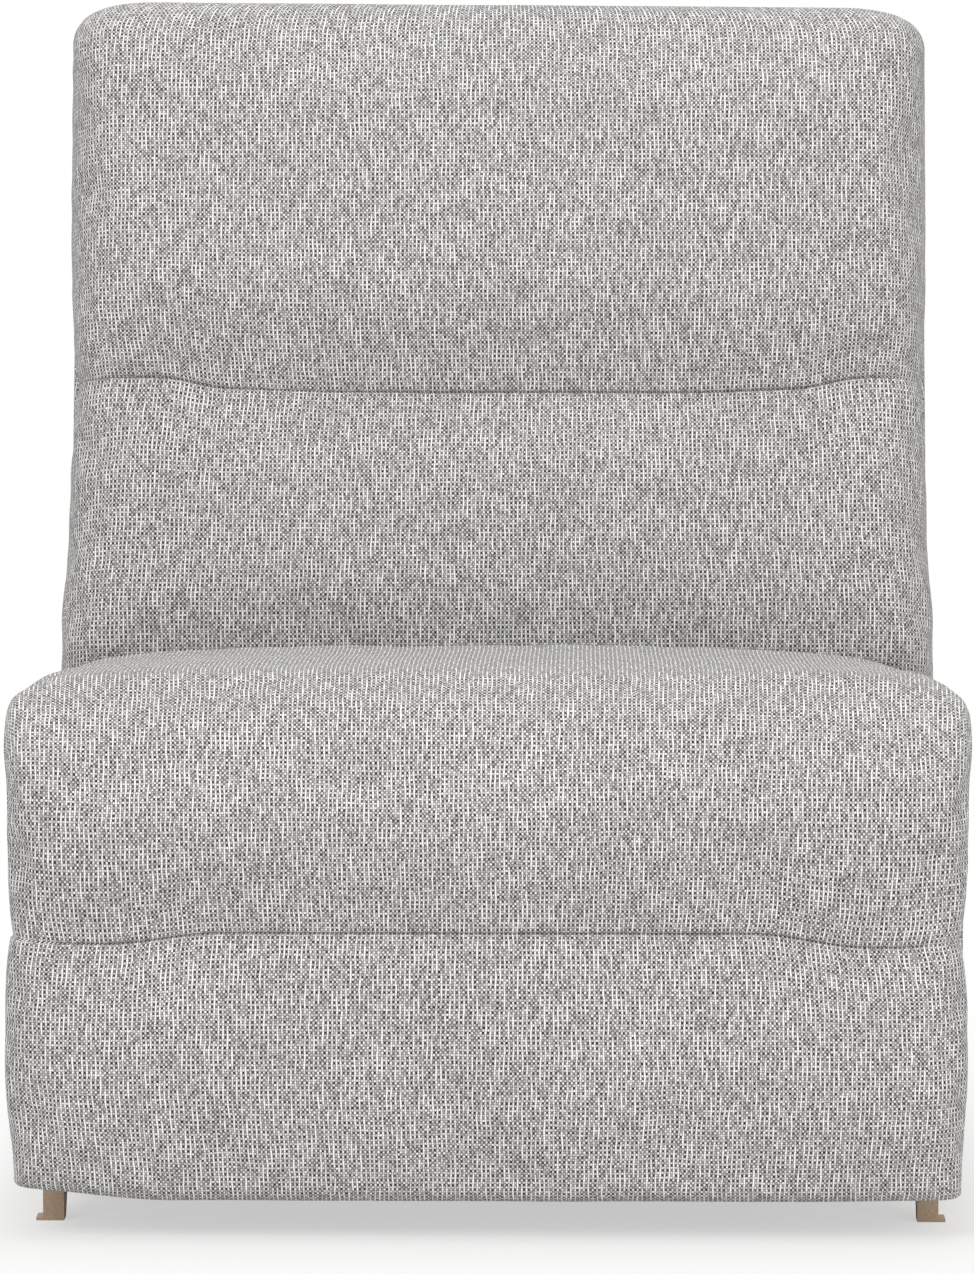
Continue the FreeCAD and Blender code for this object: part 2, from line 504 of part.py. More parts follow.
def make_actuator():
    """Geared motor, its rail and screw, fixed on the two cross tubes."""
    tube_top = "rail_low + rail_wall + tube_wide"
    rail_end = "gearbox_at + gearbox_long"
    keep("actuator_rail", box("actuator_rail", ("nut_wide", f"{rail_end} - front_tube", "rail_plate"),
                              ("-nut_wide / 2", "front_tube", tube_top)))
    floor = f"{tube_top} + rail_plate"
    head = box("bearing_head", ("nut_wide", "tube_wide", f"screw_z + nut_wide / 2 - ({floor})"),
               ("-nut_wide / 2", "front_tube", floor))
    seat = rod("bearing_seat", "screw_r + fit", "tube_wide", ("0", "front_tube", "screw_z"), "y")
    keep("screw_bearing", cut("screw_bearing", head, seat))
    case = box("gearbox_block", ("gearbox_wide", "gearbox_long", f"screw_z + gearbox_wide / 2 - ({floor})"),
               ("-gearbox_wide / 2", "gearbox_at", floor))
    socket = rod("gearbox_socket", "screw_r + fit", "gearbox_long / 2", ("0", "gearbox_at", "screw_z"), "y")
    keep("actuator_gearbox", cut("actuator_gearbox", case, socket))
    can = rod("motor_can", "motor_r", "motor_long", ("gearbox_wide / 2", "gearbox_at + gearbox_long / 2",
                                                     "screw_z"), "x")
    cap = rod("motor_cap", "cap_r", "cap_long", ("gearbox_wide / 2 + motor_long",
                                                 "gearbox_at + gearbox_long / 2", "screw_z"), "x")
    keep("actuator_motor", fuse("actuator_motor", can, cap))
    keep("lead_screw", rod("lead_screw", "screw_r", "gearbox_at + gearbox_long / 2 - screw_end - front_tube",
                           ("0", "front_tube", "screw_z"), "y"))
    body = box("inlet_body", ("inlet_wide", "inlet_wide", "inlet_wide"),
               ("inlet_x", "rear_tube + tube_wide", "rail_low + rail_wall"))
    bore = rod("inlet_bore_cut", "inlet_bore", "inlet_wide - inlet_wall",
               ("inlet_x + inlet_wide / 2", "rear_tube + tube_wide + inlet_wall",
                "rail_low + rail_wall + inlet_wide / 2"), "y")
    keep("power_inlet", cut("power_inlet", body, bore))


def make_back():
    """Reclining back: steel arms, wooden frame, webbing, rear panel, border and two pillows."""
    pin_end = ("pivot_y + arm_long * sin(arm_angle * 1 deg)", "pivot_z - arm_long * cos(arm_angle * 1 deg)")
    post_wide = "(post_rear - post_front)"
    inner = "(arm_x - post_thick)"
    for label, side in SIDES:
        x = inward(side, "arm_x", "arm_thick")
        flat = bar(f"arm_flat_{label}", ("pivot_y", "pivot_z"), pin_end, "arm_half", "arm_thick", x)
        reach = back_box(f"arm_reach_{label}", ("arm_thick", "reach_wide", "reach_long"),
                         (x, "post_front", "post_low + reach_low"))
        web = back_box(f"arm_web_{label}", ("arm_thick", "post_front + 2 * neck_lap", "neck"),
                       (x, "-neck_lap", "-neck_low"))
        hole = hole_at(f"arm_hole_{label}", "pivot_pin + fit", "pivot_y", "pivot_z", side,
                       "arm_x", "arm_thick")
        pin_long = "arm_x - sled_x + layer_gap"
        pin = hole_at(f"arm_pin_{label}", "drive_pin", *pin_end, side, "sled_x - layer_gap", pin_long)
        solid = fuse(f"arm_solid_{label}", flat, reach, web)
        keep(f"back_arm_{label}", fuse(f"back_arm_{label}", cut(f"arm_pierced_{label}", solid, hole), pin))
        post = back_box(f"back_post_{label}", ("post_thick", post_wide, "post_top - post_low"),
                        (inward(side, inner, "post_thick"), "post_front", "post_low"))
        keep(f"back_post_{label}", post)
    levels = {"top": "post_top - cross_rail", "middle": "back_seam - cross_rail / 2", "bottom": "back_bottom"}
    for level, w in levels.items():
        keep(f"back_{level}_rail", back_box(f"back_{level}_rail", (f"2 * {inner}", "board", "cross_rail"),
                                            (f"-{inner}", "post_front", w)))
    straps = []
    count = int(SIZES["back_web_count"])
    for index in range(count):
        run = "(post_top - back_bottom - 2 * strap_margin - web_wide)"
        w = f"back_bottom + strap_margin + {index} * {run} / {count - 1}"
        straps.append(back_box(f"back_strap_{index}", ("2 * arm_x", "web_thick", "web_wide"),
                               ("-arm_x", "post_front - web_thick", w)))
    keep("back_webbing", group("back_webbing", straps))
    skin_size = ("back_width - 2 * skin_inset", "back_skin", "back_top - top_drop - back_low")
    keep("outside_back_panel", back_box("outside_back_panel", skin_size,
                                        ("-back_width / 2 + skin_inset", "post_rear", "back_low")))
    rear_of_pillow = "(post_front - web_thick - soft_gap)"
    border_front = "(post_front - web_thick)"
    frame_out = "(arm_x + arm_thick + soft_gap)"
    outer = back_box("border_outer", ("back_width - 2 * skin_inset", "post_rear - " + border_front,
                                      "back_top - top_drop - (back_bottom + border_lift)"),
                     ("-back_width / 2 + skin_inset", border_front, "back_bottom + border_lift"))
    core = back_box("border_core", (f"2 * {frame_out}", "post_rear - post_front + 2 * overcut",
                                    "post_top + soft_gap - back_bottom + overcut"),
                    (f"-{frame_out}", "post_front - overcut", "back_bottom - overcut"))
    keep("back_border", cut("back_border", outer, core))
    spans = (("lower_back_pillow", "pillow_low", "back_seam - seam_gap / 2", "0"),
             ("upper_back_pillow", "back_seam + seam_gap / 2", "back_top", "pillow_proud"))
    for name, low, high, proud in spans:
        block = back_box(name + "_block", ("back_width", f"{rear_of_pillow} - (pillow_front - {proud})",
                                           f"{high} - ({low})"),
                         ("-back_width / 2", f"pillow_front - {proud}", low))
        keep(name, rounded(name, block, "pillow_round"))


def make_switch():
    """Two-button control set flush in the right side panel."""
    face = "seat_width / 2 - panel_inset"
    frame_plate = box("bezel_plate", ("bezel", "switch_long", "switch_tall"),
                      (face, "switch_y - switch_long / 2", "switch_z - switch_tall / 2"))
    slots = []
    for index, name in enumerate(("recline_button", "return_button")):
        middle = f"switch_y + {2 * index - 1} * (button / 2 + button_apart)"
        clear = "(button + 2 * button_gap)"
        slots.append(box(f"bezel_slot_{index}", ("bezel", clear, clear),
                         (face, f"{middle} - {clear} / 2", f"switch_z - {clear} / 2")))
        keep(name, box(name, ("button_deep", "button", "button"),
                       (f"{face} + bezel + button_proud - button_deep", f"{middle} - button / 2",
                        "switch_z - button / 2")))
    keep("switch_bezel", cut("switch_bezel", frame_plate, *slots))
    back_face = f"{face} + bezel + button_proud - button_deep - button_travel - housing_gap"
    size = (f"{back_face} - (rail_inner + board)", "switch_long - 2 * (bezel_lap + housing_gap)",
            "switch_tall - 2 * bezel_lap")
    keep("switch_housing", box("switch_housing", size,
                               ("rail_inner + board", "switch_y - switch_long / 2 + bezel_lap + housing_gap",
                                "switch_z - switch_tall / 2 + bezel_lap")))


for side_label, side_sign in SIDES:
    make_base(side_label, side_sign)
make_cross_members()
make_seat_box()
make_bolts()
make_leg_rest()
make_drive_shaft()
make_sled()
make_actuator()
make_back()
make_switch()

DOC.recompute()
for thing in DOC.Objects:
    if {"Invalid", "Error"} & set(thing.State):
        raise RuntimeError(f"{thing.Name} failed: {thing.State}")
for name, thing in NODES.items():
    if thing.Shape.isNull() or not thing.Shape.isValid():
        raise RuntimeError(f"{name} has no valid shape")

os.makedirs("parts", exist_ok=True)
for name, thing in NODES.items():
    thing.Shape.exportStep(f"parts/{name}.step")
print(len(NODES), "sub-parts")
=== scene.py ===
"""Armless power recliner module: cushions, covers, finishes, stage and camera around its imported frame."""

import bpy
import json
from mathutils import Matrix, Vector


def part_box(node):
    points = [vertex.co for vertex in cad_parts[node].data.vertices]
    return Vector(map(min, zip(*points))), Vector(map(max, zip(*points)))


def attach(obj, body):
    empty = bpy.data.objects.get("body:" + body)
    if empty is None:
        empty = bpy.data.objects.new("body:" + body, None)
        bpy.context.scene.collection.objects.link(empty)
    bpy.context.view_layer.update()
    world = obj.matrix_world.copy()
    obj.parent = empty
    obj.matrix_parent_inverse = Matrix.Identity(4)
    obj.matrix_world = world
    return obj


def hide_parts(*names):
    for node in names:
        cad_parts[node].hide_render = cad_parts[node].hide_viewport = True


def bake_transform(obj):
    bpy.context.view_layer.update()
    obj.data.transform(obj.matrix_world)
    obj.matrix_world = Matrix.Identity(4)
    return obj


bl_info = {
    "name": "Power recliner module",
    "version": (1, 0, 0),
    "blender": (4, 5, 0),
    "location": "View3D > Sidebar > Recliner",
    "description": "Dresses the frame of an armless power recliner with its cushions and finishes",
    "category": "Add Mesh",
}

import json
import math

import bmesh
import bpy
from mathutils import Vector, noise

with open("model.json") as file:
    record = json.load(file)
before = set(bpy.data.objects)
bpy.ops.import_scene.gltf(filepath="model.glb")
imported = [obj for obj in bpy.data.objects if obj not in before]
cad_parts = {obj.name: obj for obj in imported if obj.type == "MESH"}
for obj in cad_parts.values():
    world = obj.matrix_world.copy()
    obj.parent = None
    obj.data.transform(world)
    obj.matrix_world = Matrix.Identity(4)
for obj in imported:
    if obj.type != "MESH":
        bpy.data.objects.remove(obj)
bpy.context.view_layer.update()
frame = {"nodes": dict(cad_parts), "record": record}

RECORD = frame["record"]
JOINTS = {joint["name"]: joint for joint in RECORD["behaviour"]["joints"]}
SLOTS = {part["node"]: part["material_slot"] for part in RECORD["subparts"]}
BACK_PIVOT = Vector(JOINTS["back_recline"]["pos_m"])
SEAT_LOW, SEAT_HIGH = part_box("seat_cushion")
UPPER_LOW, UPPER_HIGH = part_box("upper_leg_pad")
LOWER_LOW, LOWER_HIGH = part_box("lower_leg_pad")
HALF_SEAT = SEAT_HIGH[0]
HALF_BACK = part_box("upper_back_pillow")[1][0] - 0.005
FRONT = UPPER_LOW[1]
FRONT_SEAM = (UPPER_LOW[2] + LOWER_HIGH[2]) / 2
HEM = LOWER_LOW[2] - 0.006

# The back's own frame: v to the rear and w up the back, both from its pivot.
LEAN = math.radians(15.0)
BACK_SEAM = 0.328
PILLOW_FRONT = -0.150
PILLOW_REAR = 0.007
BACK_TOP = 0.702
BACK_LOW = 0.055
SEAM_LAP = 0.0015
SHELL_LOW = 0.103
SHELL_TOP = 0.680
PANEL_LOW = -0.060
POST_REAR = 0.100
SKIN = 0.008
BORDER_ROUND = 0.012


class ReclinerSizes(bpy.types.PropertyGroup):
    """Sizes of the soft goods that a user would change."""
    grid: bpy.props.FloatProperty(name="Cloth grid", description="Widest spacing of a cushion's mesh",
                                  default=0.010, unit="LENGTH")
    fine: bpy.props.FloatProperty(name="Seam grid", description="Spacing of the mesh beside a seam",
                                  default=0.0008, unit="LENGTH")
    edge_round: bpy.props.FloatProperty(name="Edge round", description="Radius of the seat's long edges",
                                        default=0.030, unit="LENGTH")
    pillow_round: bpy.props.FloatProperty(name="Pillow round", description="Radius of the pillows' sides",
                                          default=0.045, unit="LENGTH")
    seam_dip: bpy.props.FloatProperty(name="Seam dip", description="Depth of the soft valley along a seam",
                                      default=0.008, unit="LENGTH")
    seam_crease: bpy.props.FloatProperty(name="Seam crease", description="Depth of the crease in that valley",
                                         default=0.0012, unit="LENGTH")
    slack: bpy.props.FloatProperty(name="Slack", description="Height of the unevenness of the covers",
                                   default=0.0022, unit="LENGTH")
    filling: bpy.props.FloatProperty(name="Filling", description="Pressure of the filling on a cover",
                                     default=1.0)
    ease: bpy.props.FloatProperty(name="Ease", description="Share by which a cover is cut too large",
                                  default=0.012)
    most_move: bpy.props.FloatProperty(name="Most move", description="How far a cover may settle",
                                       default=0.008, unit="LENGTH")
    warp: bpy.props.FloatProperty(name="Warp spacing", description="Distance between lengthwise yarns",
                                  default=0.0019, unit="LENGTH")
    weft: bpy.props.FloatProperty(name="Weft spacing", description="Distance between crosswise yarns",
                                  default=0.0021, unit="LENGTH")


def smooth(low, high, x):
    """Smooth step from 0 at low to 1 at high."""
    t = min(1.0, max(0.0, (x - low) / (high - low)))
    return t * t * (3.0 - 2.0 * t)


def round_drop(radius, past):
    """How far a quarter round falls away, `past` beyond where it starts."""
    past = min(max(past, 0.0), radius)
    return radius - math.sqrt(radius * radius - past * past)


def marks(low, high, fine, coarse, dense_low, dense_high):
    """Places from low to high, close together at the dense ends and wider apart between."""
    half = (high - low) / 2

    def run(dense):
        at = 0.0
        step = fine if dense else coarse
        places = []
        while at < half - 0.4 * step:
            places.append(at)
            at += step
            step = min(step * 1.3, coarse)
        return places

    return [low + at for at in run(dense_low)] + [high - at for at in reversed(run(dense_high))]


# Materials

def linear(hex_colour):
    """sRGB hex to the linear colour that a socket takes."""
    parts = [int(hex_colour[place:place + 2], 16) / 255 for place in (1, 3, 5)]
    return tuple(c / 12.92 if c <= 0.04045 else ((c + 0.055) / 1.055) ** 2.4 for c in parts) + (1.0,)


def add_node(tree, kind, inputs=None, **settings):
    """Add one node, set its attributes, and set or link its inputs."""
    made = tree.nodes.new(kind)
    for name, given in settings.items():
        setattr(made, name, given)
    for name, given in (inputs or {}).items():
        if isinstance(given, bpy.types.NodeSocket):
            tree.links.new(given, made.inputs[name])
        else:
            made.inputs[name].default_value = given
    return made


def maths(tree, operation, first, second=0.0):
    return add_node(tree, "ShaderNodeMath", {0: first, 1: second}, operation=operation).outputs[0]


def spread(tree, given, low, high, to_low=0.0, to_high=1.0):
    """A value carried from one range to another, smooth at both ends."""
    inputs = {"Value": given, "From Min": low, "From Max": high, "To Min": to_low, "To Max": to_high}
    return add_node(tree, "ShaderNodeMapRange", inputs, interpolation_type="SMOOTHSTEP").outputs[0]


def ramp(tree, factor, stops):
    made = add_node(tree, "ShaderNodeValToRGB", {"Fac": factor})
    bands = made.color_ramp.elements
    while len(bands) < len(stops):
        bands.new(0.5)
    for band, (place, colour) in zip(bands, stops):
        band.position = place
        band.color = linear(colour)
    return made.outputs["Color"]


def mixed(tree, factor, first, second, blend="MIX"):
    inputs = {"Factor": factor, 6: first, 7: second}
    return add_node(tree, "ShaderNodeMix", inputs, data_type="RGBA", blend_type=blend).outputs[2]


def new_material(name):
    made = bpy.data.materials.new(name)
    made.use_nodes = True
    return made, made.node_tree, made.node_tree.nodes["Principled BSDF"]


# Keeps the yarns' numbers positive, in metres of cloth.
YARN_START = 10.0
# Where the yarns of each kind start to read their noise, so that no two look alike.
SLUB_SEED = 1000.0
WARP_SEED = 777.0
WEFT_SEED = 1000.0


def heather_cloth():
    """Plain-woven polyester upholstery: ivory slub warp over grey and charcoal weft, matt, faint nap."""
    sizes = bpy.context.scene.recliner_sizes
    _, tree, shader = new_material("heather_cloth")
    place = add_node(tree, "ShaderNodeUVMap", uv_map="UVMap").outputs["UV"]

    def times(given, factor):
        return maths(tree, "MULTIPLY", given, factor)

    def yarns(metres, spacing, drift):
        """Count yarns along a cloth length."""
        count = maths(tree, "DIVIDE", maths(tree, "ADD", metres, YARN_START), spacing)
        return maths(tree, "ADD", count, drift)

    def streaks(yarn_number, run, start):
        """Tone along one yarn: each yarn reads the same noise from a place of its own."""
        chance = add_node(tree, "ShaderNodeTexWhiteNoise", {"W": yarn_number}, noise_dimensions="1D")
        spot = maths(tree, "ADD", times(chance.outputs["Value"], start), run)
        inputs = {"W": spot, "Scale": 1.0, "Detail": 2.0, "Roughness": 0.55}
        return add_node(tree, "ShaderNodeTexNoise", inputs, noise_dimensions="1D").outputs["Fac"]

    # UVs are cloth lengths in metres; the yarns wander sideways over about 16 mm of length.
    axes = add_node(tree, "ShaderNodeSeparateXYZ", {"Vector": place})
    inputs = {"Vector": place, "Scale": 60.0, "Detail": 2.0}
    wander = add_node(tree, "ShaderNodeTexNoise", inputs, noise_dimensions="2D").outputs["Color"]
    drifts = add_node(tree, "ShaderNodeSeparateColor", {"Color": wander}).outputs
    across = yarns(axes.outputs[0], sizes.warp, times(drifts[0], 1.2))
    along = yarns(axes.outputs[1], sizes.weft, times(drifts[1], 0.7))
    warp_number = maths(tree, "FLOOR", across)
    weft_number = maths(tree, "FLOOR", along)
    over = maths(tree, "MODULO", maths(tree, "ADD", warp_number, weft_number), 2.0)
    warp_round = maths(tree, "SINE", times(maths(tree, "FRACT", across), math.pi))
    weft_round = maths(tree, "SINE", times(maths(tree, "FRACT", along), math.pi))
    crossing = add_node(tree, "ShaderNodeCombineXYZ", {"X": warp_number, "Y": weft_number}).outputs[0]
    chance = add_node(tree, "ShaderNodeTexWhiteNoise", {"Vector": crossing}, noise_dimensions="2D")
    fleck = times(maths(tree, "SUBTRACT", chance.outputs["Value"], 0.5), 0.30)

    # A slub runs about 20 mm along one warp yarn; flecks of the weft are about 6 mm long.
    slub = streaks(warp_number, times(along, 0.085), SLUB_SEED)
    slub_share = spread(tree, slub, 0.34, 0.66, 0.22, 1.0)
    warp_tone = maths(tree, "ADD", streaks(warp_number, times(along, 0.4), WARP_SEED), fleck)
    weft_tone = maths(tree, "ADD", streaks(weft_number, times(across, 0.3), WEFT_SEED), fleck)
    # Every other warp yarn is an ivory one.
    ivory = maths(tree, "MODULO", warp_number, 2.0)
    warp_colour = ramp(tree, warp_tone, ((0.28, "#A19F9C"), (0.50, "#C4C2BF"), (0.72, "#EDECE9")))
    weft_colour = ramp(tree, weft_tone, ((0.32, "#141313"), (0.50, "#4C4A48"), (0.70, "#999694")))
    plain = mixed(tree, over, weft_colour, warp_colour)
    cover_share = maths(tree, "MULTIPLY", slub_share, spread(tree, warp_round, 0.30, 0.70))
    cover_share = maths(tree, "MULTIPLY", cover_share, ivory)
    yarn = mixed(tree, times(cover_share, 0.9), plain, linear("#FBFAF8"))
    under = add_node(tree, "ShaderNodeMix", {0: over, 2: weft_round, 3: warp_round}).outputs[0]
    height = maths(tree, "MAXIMUM", under, cover_share)
    seam = add_node(tree, "ShaderNodeAttribute", attribute_name="seam").outputs["Fac"]
    # Painted shade: the colour darkens where the yarns dip under one another and in the gaps between the weft
    # rows.
    shade = maths(tree, "ADD", times(height, 0.4), 0.6)
    shade = maths(tree, "MULTIPLY", shade, spread(tree, weft_round, 0.0, 0.6, 0.5, 1.0))
    # Painted shade along each seam's crease: the colour darkens to 0.4 of itself where the covers' seam
    # attribute is 1.
    shade = maths(tree, "MULTIPLY", shade, spread(tree, seam, 0.0, 1.0, 1.0, 0.4))
    grey = add_node(tree, "ShaderNodeCombineColor", {"Red": shade, "Green": shade, "Blue": shade}).outputs[0]
    woven = mixed(tree, 1.0, yarn, grey, "MULTIPLY")
    body_place = add_node(tree, "ShaderNodeTexCoord").outputs["Object"]
    inputs = {"Vector": body_place, "Scale": 11.0, "Detail": 3.0}
    mottle = add_node(tree, "ShaderNodeTexNoise", inputs).outputs["Fac"]
    tone = ramp(tree, mottle, ((0.25, "#F4F4F4"), (0.75, "#FFFFFF")))
    tree.links.new(mixed(tree, 1.0, woven, tone, "MULTIPLY"), shader.inputs["Base Color"])
    bump = add_node(tree, "ShaderNodeBump", {"Height": height, "Strength": 0.6, "Distance": 0.0005})
    tree.links.new(bump.outputs[0], shader.inputs["Normal"])
    shader.inputs["Roughness"].default_value = 0.92
    shader.inputs["Sheen Weight"].default_value = 0.10
    shader.inputs["Sheen Roughness"].default_value = 0.5


def grained(name, dark, light, roughness, grain_mm, metallic=0.0, stretch=(1, 1, 1)):
    """A surface whose tone and roughness follow one grain, in object space."""
    _, tree, shader = new_material(name)
    place = add_node(tree, "ShaderNodeTexCoord").outputs["Object"]
    turned = add_node(tree, "ShaderNodeMapping", {"Vector": place, "Scale": stretch}).outputs[0]
    inputs = {"Vector": turned, "Scale": 1000.0 / grain_mm, "Detail": 4.0}
    grain = add_node(tree, "ShaderNodeTexNoise", inputs).outputs["Fac"]
    tree.links.new(ramp(tree, grain, ((0.3, dark), (0.7, light))), shader.inputs["Base Color"])
    rough = spread(tree, grain, 0.2, 0.8, roughness - 0.08, roughness + 0.08)
    tree.links.new(rough, shader.inputs["Roughness"])
    bump = add_node(tree, "ShaderNodeBump", {"Height": grain, "Strength": 0.35, "Distance": 0.0001})
    tree.links.new(bump.outputs[0], shader.inputs["Normal"])
    shader.inputs["Metallic"].default_value = metallic


def make_finishes():
    heather_cloth()
    # Powder coat on pressed steel: satin, with a fine orange-peel grain.
    grained("brown_powder_coat", "#9A836B", "#B39B82", 0.45, 1.5)
    # Baked enamel over the mechanism's plates and tubes.
    grained("black_enamelled_steel", "#141415", "#1E1E20", 0.42, 1.2)
    # Sawn pine: long grain along the board, dry surface.
    grained("sawn_pine", "#B98F5E", "#D8B483", 0.75, 14.0, stretch=(1, 0.12, 1))
    # Woven elastic straps with a ribbed, dull face.
    grained("elastic_webbing", "#18181A", "#2A2A2D", 0.85, 1.0)
    # Zinc plating: bright metal, slightly clouded.
    grained("zinc_plated_steel", "#A9AAAB", "#C6C7C8", 0.32, 3.0, metallic=1.0)
    # Glass-filled nylon mouldings.
    grained("moulded_black_nylon", "#17181A", "#222326", 0.5, 0.8)
    # Uncoloured nylon of the drive nut.
    grained("natural_nylon", "#DAD5C6", "#E8E3D5", 0.45, 2.0)
    # Spark-eroded ABS of the push buttons.
    grained("switch_plastic", "#2E2F31", "#3A3B3E", 0.42, 0.8)


FINISHES = {"heather_fabric": "heather_cloth", "brown_steel": "brown_powder_coat",
            "black_steel": "black_enamelled_steel", "pine": "sawn_pine", "webbing": "elastic_webbing",
            "zinc_steel": "zinc_plated_steel", "black_plastic": "moulded_black_nylon",
            "nylon": "natural_nylon", "button_plastic": "switch_plastic"}


def finish(made, slot):
    """Give an object the material of one of the record's slots."""
    made.data.materials.clear()
    made.data.materials.append(bpy.data.materials[FINISHES[slot]])


# Padded pieces

def swept(name, stations, seams):
    """A closed padded form through loops of points, with cloth lengths in metres as its UVs.

    Each station has the closeness of a seam, from 0 to 1, for the painted shade along the seam's crease
    there.
    """
    mesh = bpy.data.meshes.new(name)
    work = bmesh.new()
    layer = work.loops.layers.uv.new("UVMap")
    shade = work.verts.layers.float.new("seam")
    rings = [[work.verts.new(point) for point in loop] for loop in stations]
    for loop, closeness in zip(rings, seams):
        # The painted shade along a seam fades out towards the cover's sides.
        widest = max(vertex.co.x for vertex in loop)
        for vertex in loop:
            vertex[shade] = closeness * (1 - smooth(0.86, 1.0, abs(vertex.co.x) / widest))
    count = len(stations[0])
    # The yarns run straight, so every row takes its places across from one middle loop.
    pattern = stations[len(stations) // 2]
    across = [pattern[0].x]
    for index in range(count):
        across.append(across[-1] + (pattern[(index + 1) % count] - pattern[index]).length)
    runs = [0.0]
    for before, after in zip(stations, stations[1:]):
        runs.append(runs[-1] + (after[MIDDLE_COLUMN] - before[MIDDLE_COLUMN]).length)
    for step in range(len(stations) - 1):
        for index in range(count):
            following = (index + 1) % count
            face = work.faces.new((rings[step][index], rings[step][following],
                                   rings[step + 1][following], rings[step + 1][index]))
            spots = ((step, index), (step, index + 1), (step + 1, index + 1), (step + 1, index))
            for corner, (row, column) in zip(face.loops, spots):
                corner[layer].uv = (across[column], runs[row])
    for loop, turn in ((rings[0], -1), (rings[-1], 1)):
        face = work.faces.new(loop[::turn])
        for corner in face.loops:
            corner[layer].uv = (corner.vert.co.x, corner.vert.co.y)
        bmesh.ops.triangulate(work, faces=[face])
    bmesh.ops.recalc_face_normals(work, faces=work.faces)
    work.to_mesh(mesh)
    work.free()
    made = bpy.data.objects.new(name, mesh)
    bpy.context.collection.objects.link(made)
    for polygon in mesh.polygons:
        polygon.use_smooth = True
    return made


def pick(made):
    bpy.ops.object.select_all(action="DESELECT")
    bpy.context.view_layer.objects.active = made
    made.select_set(True)


def soften(made):
    """One applied subdivision."""
    pick(made)
    made.modifiers.new("cloth", "SUBSURF").levels = 1
    bpy.ops.object.modifier_apply(modifier="cloth")


# How the covers' cloth behaves while it settles.
CLOTH = {"quality": 6, "mass": 0.05, "tension_stiffness": 25.0, "compression_stiffness": 25.0,
         "shear_stiffness": 10.0, "bending_stiffness": 0.4, "use_pressure": True}
LAST_MOMENT = 20


def settle(made, grips):
    """Let a cover settle as cloth over its filling, held at its seams, ends and underside.

    Each station has a grip, from 0 to 1, that says how firmly its face is held.
    """
    sizes = bpy.context.scene.recliner_sizes
    mesh = made.data
    count = len(mesh.vertices) // len(grips)
    held = made.vertex_groups.new(name="held")
    for index in range(len(mesh.vertices)):
        row, column = divmod(index, count)
        held.add([index], grips[row] if column < len(COLUMNS) else 1.0, "REPLACE")
    shaped = [vertex.co.copy() for vertex in mesh.vertices]
    cloth = made.modifiers.new("filling", "CLOTH")
    for name, given in CLOTH.items():
        setattr(cloth.settings, name, given)
    cloth.settings.uniform_pressure_force = sizes.filling
    cloth.settings.shrink_min = -sizes.ease
    cloth.settings.vertex_group_mass = held.name
    cloth.settings.effector_weights.gravity = 0.0
    bpy.context.view_layer.update()
    for moment in range(1, LAST_MOMENT + 1):
        bpy.context.scene.frame_set(moment)
    settled = made.evaluated_get(bpy.context.evaluated_depsgraph_get()).data
    moves = [after.co - before for after, before in zip(settled.vertices, shaped)]
    made.modifiers.remove(cloth)
    made.vertex_groups.remove(held)
    bpy.context.scene.frame_set(1)
    for vertex, before, move in zip(mesh.vertices, shaped, moves):
        vertex.co = before + move * min(1.0, sizes.most_move / max(move.length, 1e-6))
    mesh.update()


def padded_piece(made, body, fill, *nodes):
    """Cover a padded piece in the cloth, let it ride a body and stand for its plain solids."""
    finish(made, "heather_fabric")
    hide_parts(*nodes)
    if body:
        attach(made, body)


def uneven(point, height, size, seed):
    """Gentle unevenness of a filled cover."""
    spot = Vector((point.x + seed, point.y, point.z)) / size
    return height * (noise.noise(spot) + 0.45 * noise.noise(spot * 2.7))


CREASE_REACH = 0.002
# Half-width of the painted shade along a seam's crease.
SEAM_SHADE_REACH = 0.0010
GATHER_HEIGHT = 0.0012
GATHER_REACH = 0.035
# A seam holds the cover fully up to the first distance and not at all from the second.
GRIP_NEAR = 0.004
GRIP_FAR = 0.030


def seam_depth(sizes, away, reach):
    """How deep a cover lies below its face, `away` from a seam: a soft valley with a crease in it."""
    return sizes.seam_dip * math.exp(-away / reach) + sizes.seam_crease * math.exp(-away / CREASE_REACH)


def seam_shade(away):
    """Closeness of a seam's crease, 1 on the crease itself, for the painted shade along it."""
    return math.exp(-(away / SEAM_SHADE_REACH) ** 2)


def seam_grip(away):
    """How firmly a seam holds the cover at a distance from it."""
    return max(0.0, 1 - smooth(GRIP_NEAR, GRIP_FAR, away))


def gathers(x, away, seed):
    """Short folds that run out of a seam."""
    fold = noise.noise(Vector((x * 28.0, seed, 0.0))) + 0.6 * noise.noise(Vector((x * 75.0, seed, 3.0)))
    return GATHER_HEIGHT * fold * math.exp(-away / GATHER_REACH)


EDGE_GRID = 0.0028
FACE_GRID = 0.010
INNER_ROUND = 0.012
COLUMNS = [place / HALF_SEAT for place in marks(-HALF_SEAT, HALF_SEAT, EDGE_GRID, FACE_GRID, True, True)]
MIDDLE_COLUMN = len(COLUMNS) // 2
SIDE_ROWS = 7
INNER_COLUMNS = 20


def section(half, thick, edge):
    """Offsets (x, depth) round a padded section: outer face, right side, inner face, left side."""
    inner_edge = min(INNER_ROUND, 0.2 * thick)
    outer = [(half * share, round_drop(edge, half * abs(share) - (half - edge))) for share in COLUMNS]
    side = []
    for row in range(1, SIDE_ROWS + 1):
        t = row / SIDE_ROWS
        side.append((half, edge + (thick - inner_edge - edge) * t))
    inner_half = half - inner_edge
    inner = [(inner_half * (1 - 2 * step / INNER_COLUMNS), thick) for step in range(INNER_COLUMNS + 1)]
    return outer + side + inner + [(-x, deep) for x, deep in reversed(side)]


SEAT_ROLL = 0.072
SEAT_FALL = 0.013
HEM_ROUND = 0.016
REAR_CORNER = 0.030
ROLL_STEPS = 20
HEM_STEPS = 6
